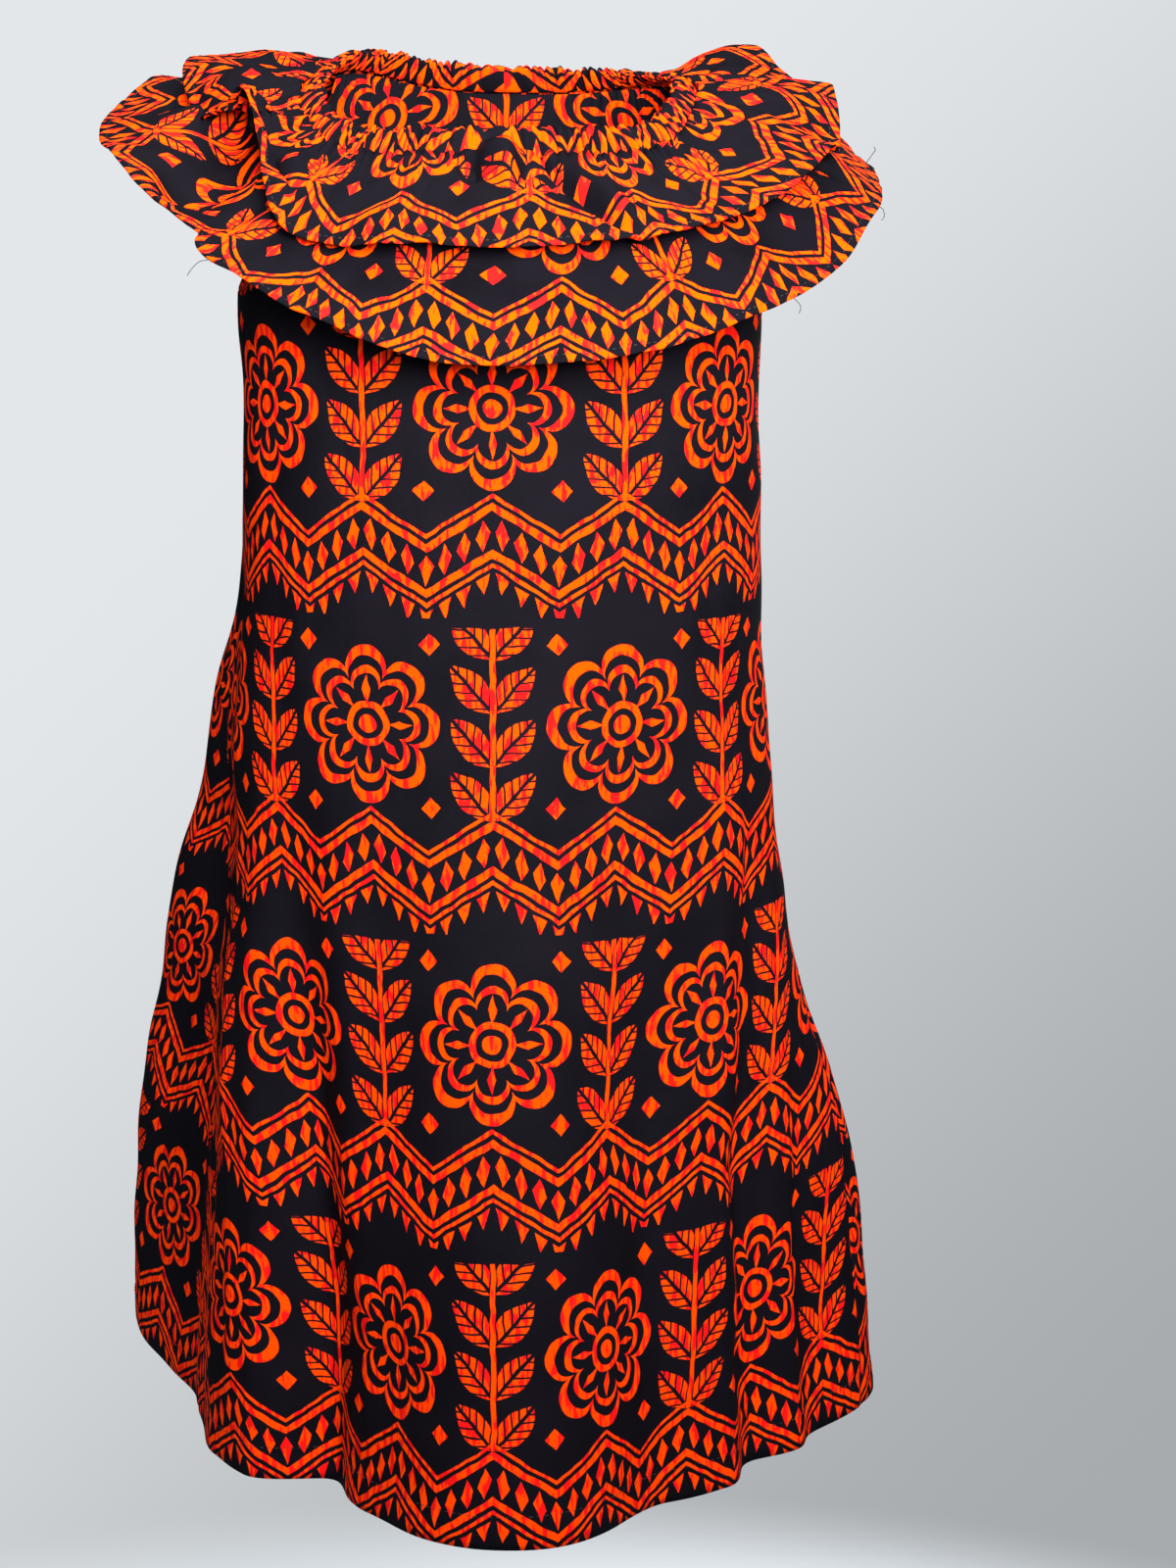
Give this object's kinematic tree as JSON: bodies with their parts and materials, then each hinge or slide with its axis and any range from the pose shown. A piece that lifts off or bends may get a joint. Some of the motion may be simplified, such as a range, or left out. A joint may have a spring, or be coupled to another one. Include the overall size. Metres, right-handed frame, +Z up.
{
  "type": "off-shoulder dress",
  "caption": "Child's A-line dress with an elastic neckline and a frill in tiers over the shoulders, open at neck, armholes and hem.",
  "frame": {"origin": "middle of the neck opening, level with the top of the shoulders", "axes": "+Z up along the wearer's height, front of the dress towards -Y, +X towards the wearer's left side"},
  "size_m": [0.3228, 0.3049, 0.5588],
  "materials": {
    "printed_cotton": "woven cotton with a printed pattern in orange and red",
    "gathered_cotton": "printed woven cotton gathered on elastic"
  },
  "bodies": {
    "root": {"front_panel": "printed_cotton", "back_panel": "printed_cotton", "front_lower_frill": "printed_cotton", "back_lower_frill": "printed_cotton", "front_upper_frill": "printed_cotton", "back_upper_frill": "printed_cotton", "neck_band": "gathered_cotton"}
  },
  "joints": []
}
